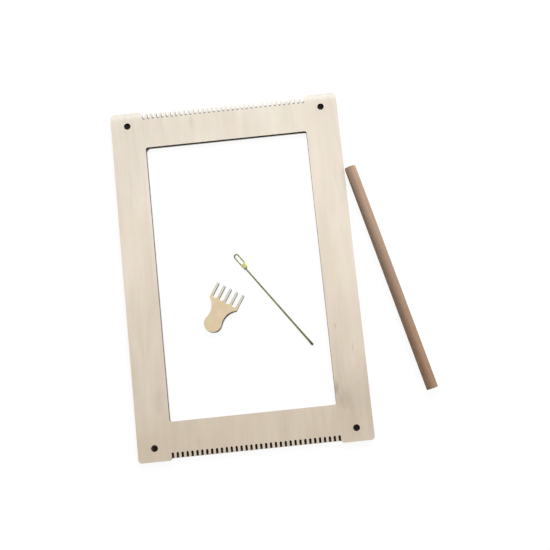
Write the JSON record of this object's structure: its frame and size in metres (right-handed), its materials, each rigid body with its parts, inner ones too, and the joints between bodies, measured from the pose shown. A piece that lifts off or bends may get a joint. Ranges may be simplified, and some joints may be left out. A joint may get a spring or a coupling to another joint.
{
  "type": "frame loom",
  "caption": "Flat wooden frame loom with an open window, warp slots along both ends and a hole in each corner, laid out with its weaving comb, needle and dowel.",
  "frame": {"origin": "on the back face of the board, in the middle of the four corner holes", "axes": "+X across the board to the side where the dowel lies, +Y along the board to its far end, +Z out of the board's face, away from the table"},
  "size_m": [0.3108, 0.367, 0.012],
  "materials": {
    "loom_face_veneer": "raw sanded birch veneer, pale",
    "loom_core": "laser-burnt edge of the inner plies, dark brown",
    "loom_back_veneer": "raw sanded birch veneer, pale",
    "comb_face_veneer": "raw sanded birch veneer, yellower than the board",
    "comb_core": "laser-burnt edge of the inner plies, dark brown",
    "comb_back_veneer": "raw sanded birch veneer, yellower than the board",
    "needle_shank": "dull gold-coloured wire",
    "needle_collar": "satin gold-coloured metal",
    "needle_eye": "dull gold-coloured wire",
    "dowel": "raw pinkish brown wood, lightly sanded"
  },
  "bodies": {
    "loom": {"loom_face_veneer": "loom_face_veneer", "loom_core": "loom_core", "loom_back_veneer": "loom_back_veneer"},
    "comb": {"comb_face_veneer": "comb_face_veneer", "comb_core": "comb_core", "comb_back_veneer": "comb_back_veneer"},
    "needle": {"needle_shank": "needle_shank", "needle_collar": "needle_collar", "needle_eye": "needle_eye"},
    "dowel": {"dowel": "dowel"}
  },
  "joints": [
    {"name": "comb_lift", "type": "slide", "parent": "loom", "child": "comb", "axis": [0, 0, 1], "range_m": [0, 0.06]},
    {"name": "needle_lift", "type": "slide", "parent": "loom", "child": "needle", "axis": [0, 0, 1], "range_m": [0, 0.06]},
    {"name": "dowel_lift", "type": "slide", "parent": "loom", "child": "dowel", "axis": [0, 0, 1], "range_m": [0, 0.06]}
  ]
}
